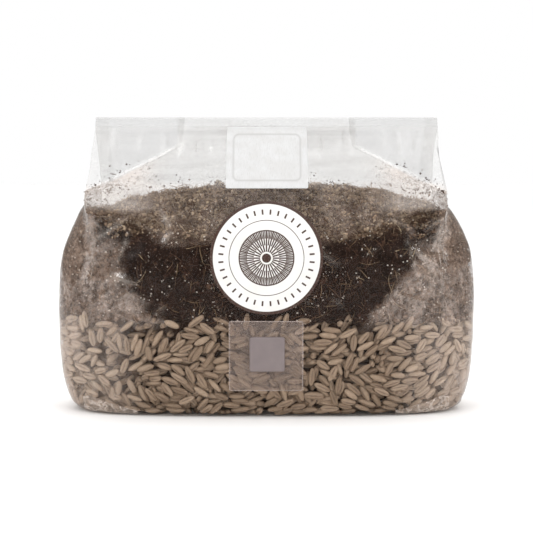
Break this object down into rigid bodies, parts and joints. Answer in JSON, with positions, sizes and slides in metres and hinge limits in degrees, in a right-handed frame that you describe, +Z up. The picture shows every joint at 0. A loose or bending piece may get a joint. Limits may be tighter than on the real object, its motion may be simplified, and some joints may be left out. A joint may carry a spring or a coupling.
{
  "type": "mushroom grow bag",
  "caption": "Clear gusseted film bag, heat-sealed along the top, filled with grain under a dark bulk substrate, with a filter patch, a round label and an injection port on its front.",
  "frame": {"origin": "centre of the flat bottom that the bag rests on", "axes": "+Z up; +X along the bag's width; -Y towards the front with the label"},
  "size_m": [0.207, 0.0933, 0.144],
  "materials": {
    "bag_film": "clear polypropylene film, glossy, slightly hazy",
    "filter_patch": "white non-woven filter, matt, welded round its edge",
    "round_label": "off-white satin sticker with a dark brown rim",
    "port_film": "clear adhesive film, slightly milky",
    "port_pad": "warm grey self-healing rubber, matt",
    "grain_bed": "dry-skinned cereal grain, matt",
    "substrate_bed": "moist dark coir and peat with white perlite, matt"
  },
  "bodies": {
    "root": {"bag_film": "bag_film", "filter_patch": "filter_patch", "round_label": "round_label", "port_film": "port_film", "port_pad": "port_pad", "grain_bed": "grain_bed", "substrate_bed": "substrate_bed"}
  },
  "joints": []
}
